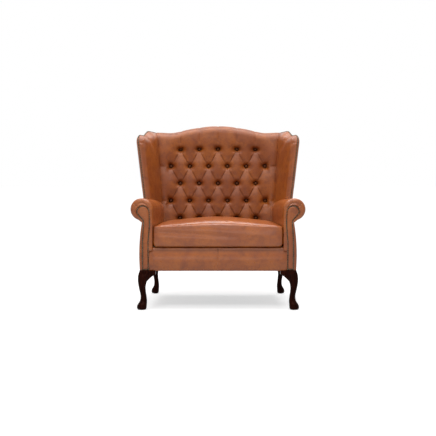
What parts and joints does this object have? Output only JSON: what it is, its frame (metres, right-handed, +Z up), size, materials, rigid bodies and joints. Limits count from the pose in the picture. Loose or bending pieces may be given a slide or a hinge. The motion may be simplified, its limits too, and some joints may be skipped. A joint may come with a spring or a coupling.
{
  "type": "loveseat",
  "caption": "High-back winged loveseat in button-tufted leather with nail-trimmed scroll arms, one loose seat cushion and cabriole legs.",
  "frame": {"origin": "centre of the overall footprint, on the floor under the feet", "axes": "+Z up, +Y towards the back, so the front faces -Y; X runs from arm to arm"},
  "size_m": [1.0242, 0.8386, 1.1127],
  "materials": {
    "leather": "hand-rubbed, mottled, semi-gloss",
    "mahogany": "dark, glossy varnish",
    "beech": "planed, unfinished",
    "antique_brass": "antiqued",
    "steel": "plain",
    "hessian": "plain weave",
    "black_cloth": "matt",
    "foam": "matt",
    "zip_tape": "woven",
    "glide": "matt"
  },
  "bodies": {
    "loveseat_frame": {"arm_facing_left": "leather", "arm_facing_right": "leather", "arm_liner_rail_left": "beech", "arm_liner_rail_right": "beech", "arm_pad_left": "leather", "arm_pad_right": "leather", "arm_post_left": "beech", "arm_post_right": "beech", "arm_top_rail_left": "beech", "arm_top_rail_right": "beech", "back_buttons": "leather", "back_hessian": "hessian", "back_post_left": "beech", "back_post_right": "beech", "back_webbing": "hessian", "centre_rail": "beech", "corner_blocks": "beech", "crest_rail": "beech", "dust_cover": "black_cloth", "facing_nails_left": "antique_brass", "facing_nails_right": "antique_brass", "floor_glides": "glide", "front_border": "leather", "front_leg_left": "mahogany", "front_leg_right": "mahogany", "front_seat_rail": "beech", "inner_wing_left": "leather", "inner_wing_right": "leather", "inside_back": "leather", "knee_brackets": "mahogany", "leg_bolts": "steel", "lower_back_rail": "beech", "outer_arm_left": "leather", "outer_arm_right": "leather", "outer_back": "leather", "outer_back_nails": "antique_brass", "outer_wing_left": "leather", "outer_wing_right": "leather", "rear_leg_left": "mahogany", "rear_leg_right": "mahogany", "rear_seat_rail": "beech", "seat_deck": "hessian", "seat_springs": "steel", "side_seat_rail_left": "beech", "side_seat_rail_right": "beech", "spring_clips": "steel", "tufting_twine": "hessian", "wing_nails_left": "antique_brass", "wing_nails_right": "antique_brass", "wing_post_left": "beech", "wing_post_right": "beech", "wing_top_rail_left": "beech", "wing_top_rail_right": "beech"},
    "seat_cushion": {"cushion_cover": "leather", "cushion_core": "foam", "cushion_zip": "zip_tape"},
    "zip_slider": {"zip_slider": "steel"}
  },
  "joints": [
    {"name": "cushion_lift", "type": "slide", "parent": "loveseat_frame", "child": "seat_cushion", "axis": [0, -0.7071, 0.7071], "range_m": [0, 0.8]},
    {"name": "zip_slide", "type": "slide", "parent": "seat_cushion", "child": "zip_slider", "axis": [1, 0, 0], "range_m": [0, 0.55]}
  ]
}
